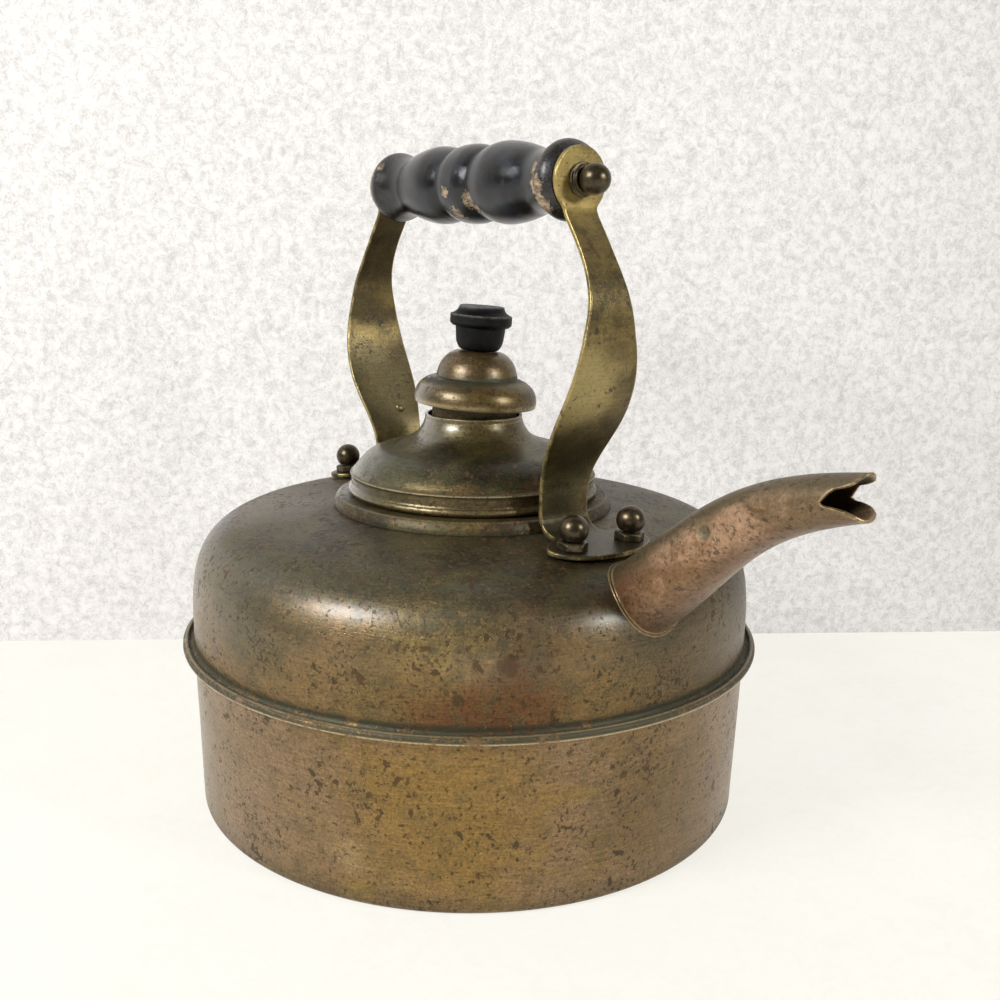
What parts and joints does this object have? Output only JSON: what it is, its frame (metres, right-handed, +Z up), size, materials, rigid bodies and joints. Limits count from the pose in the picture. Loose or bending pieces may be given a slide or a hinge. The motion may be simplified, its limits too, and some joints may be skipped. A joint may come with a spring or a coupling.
{
  "type": "tea kettle",
  "caption": "Old copper tea kettle with a rolled seam, notched curved spout, lift-off lid with steam cap and knob, and a turned black grip on bowed brass straps.",
  "frame": {"origin": "on the body's axis, at the underside of the flat base", "axes": "+Z up, +X along the spout and the grip, +Y across the kettle"},
  "size_m": [0.2616, 0.2, 0.2221],
  "materials": {
    "worn_copper": "tarnished copper, satin, brown with dark spots",
    "spout_copper": "tarnished copper, satin, pinker and rubbed",
    "dark_copper": "dull dark copper",
    "aged_brass": "aged brass, satin, olive with gold patches",
    "dark_bronze": "dark bronze, polished and worn",
    "dull_steel": "dull plain steel",
    "black_grip": "satin black paint with small chips",
    "black_knob": "matt black"
  },
  "bodies": {
    "kettle": {"body_pan": "worn_copper", "body_dome": "worn_copper", "spout": "spout_copper", "lid_seat_ring": "worn_copper", "front_strap": "aged_brass", "rear_strap": "aged_brass", "rear_strap_rivet": "aged_brass", "front_right_strap_bolt": "dull_steel", "front_right_hex_nut": "dark_bronze", "front_right_ball_nut": "dark_bronze", "front_left_strap_bolt": "dull_steel", "front_left_hex_nut": "dark_bronze", "front_left_ball_nut": "dark_bronze", "rear_right_strap_bolt": "dull_steel", "rear_right_hex_nut": "dark_bronze", "rear_right_ball_nut": "dark_bronze", "rear_left_strap_bolt": "dull_steel", "rear_left_hex_nut": "dark_bronze", "rear_left_ball_nut": "dark_bronze", "grip_rod": "dull_steel", "front_grip_collar": "dark_bronze", "front_grip_ball_nut": "dark_bronze", "rear_grip_collar": "dark_bronze", "rear_grip_ball_nut": "dark_bronze"},
    "lid": {"lid_dome": "worn_copper", "lid_bezel": "dark_copper", "vent_plate": "dark_copper"},
    "cap": {"steam_cap": "worn_copper", "cap_collar": "dark_copper", "vent_spacer": "dull_steel", "cap_screw": "dull_steel", "knob": "black_knob"},
    "grip": {"grip": "black_grip"}
  },
  "joints": [
    {"name": "lid_lift", "type": "slide", "parent": "kettle", "child": "lid", "axis": [0, 0, 1], "range_m": [0, 0.0255]},
    {"name": "cap_turn", "type": "hinge", "parent": "lid", "child": "cap", "pos_m": [0, 0, 0.12954], "axis": [0.0333, 0.047, 0.9983], "continuous": true},
    {"name": "grip_turn", "type": "hinge", "parent": "kettle", "child": "grip", "pos_m": [0, 0, 0.2092], "axis": [1, 0, 0], "continuous": true}
  ]
}
